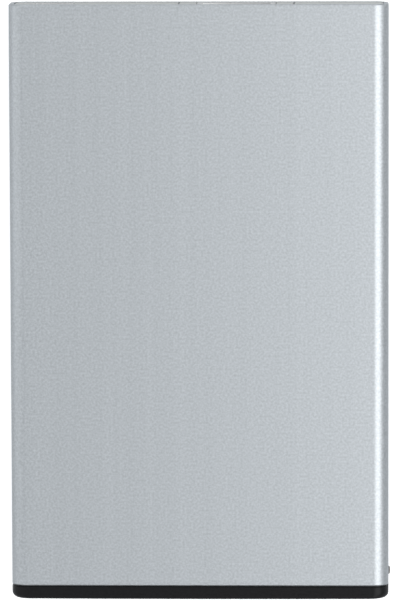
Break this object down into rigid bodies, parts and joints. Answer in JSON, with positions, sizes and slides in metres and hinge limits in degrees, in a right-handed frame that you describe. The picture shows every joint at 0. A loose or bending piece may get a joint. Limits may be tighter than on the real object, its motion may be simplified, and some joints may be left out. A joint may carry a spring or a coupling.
{
  "type": "power bank",
  "caption": "Slim flat power bank: extruded aluminium sleeve, black end cap, USB sockets at one end and a side power button.",
  "frame": {"origin": "centre of the back face, on which it lies", "axes": "+X to its right with the ports away from the viewer, +Y towards the ports, +Z out of the front face"},
  "size_m": [0.0703, 0.1106, 0.0092],
  "materials": {
    "anodised_aluminium": "bead-blasted and clear anodised",
    "black_plastic": "fine moulded texture",
    "black_steel": "black oxide",
    "grey_plastic": "satin moulded",
    "tray_plastic": "matt moulded",
    "adhesive_tape": "matt",
    "foam": "open foam",
    "polyimide_film": "glossy film",
    "cell_foil": "embossed foil laminate",
    "nickel": "bright strip",
    "circuit_board": "solder mask",
    "chip_package": "moulded epoxy",
    "steel": "zinc plated",
    "nickel_plated_steel": "nickel plated",
    "socket_plastic": "moulded",
    "gold_plate": "gold flash",
    "ferrite": "pressed powder",
    "capacitor_case": "moulded epoxy",
    "ceramic": "fired ceramic",
    "led_package": "clear top",
    "clear_plastic": "polished",
    "button_plastic": "moulded and painted",
    "wire_insulation": "extruded"
  },
  "bodies": {
    "case": {"aluminium_sleeve": "anodised_aluminium", "battery_cell": "cell_foil", "board_screws": "steel", "cap_screws": "black_steel", "carrier_tray": "tray_plastic", "cell_tabs": "nickel", "cell_tape": "adhesive_tape", "charge_chip": "chip_package", "charge_leds": "led_package", "chip_capacitors": "ceramic", "chip_resistors": "chip_package", "end_cap": "black_plastic", "fascia_plate": "grey_plastic", "foam_pad": "foam", "gauge_board": "circuit_board", "gauge_leads": "wire_insulation", "insulation_film": "polyimide_film", "light_guide": "clear_plastic", "main_board": "circuit_board", "micro_usb_contacts": "gold_plate", "micro_usb_shell": "nickel_plated_steel", "micro_usb_tongue": "socket_plastic", "polyimide_tape": "polyimide_film", "polymer_capacitors": "capacitor_case", "port_surround": "grey_plastic", "power_inductor": "ferrite", "power_transistors": "chip_package", "protection_board": "circuit_board", "protection_chips": "chip_package", "switch_body": "chip_package", "switch_cover": "nickel_plated_steel", "switch_dome": "nickel", "tray_tape": "adhesive_tape", "usb_a_contacts": "gold_plate", "usb_a_shell": "nickel_plated_steel", "usb_a_tongue": "socket_plastic"},
    "button": {"power_button": "button_plastic", "switch_plunger": "socket_plastic"}
  },
  "joints": [
    {"name": "button_press", "type": "slide", "parent": "case", "child": "button", "axis": [-1, 0, 0], "range_m": [0, 0.00022], "stiffness_N_per_m": 1500, "springref_m": -0.0001}
  ]
}
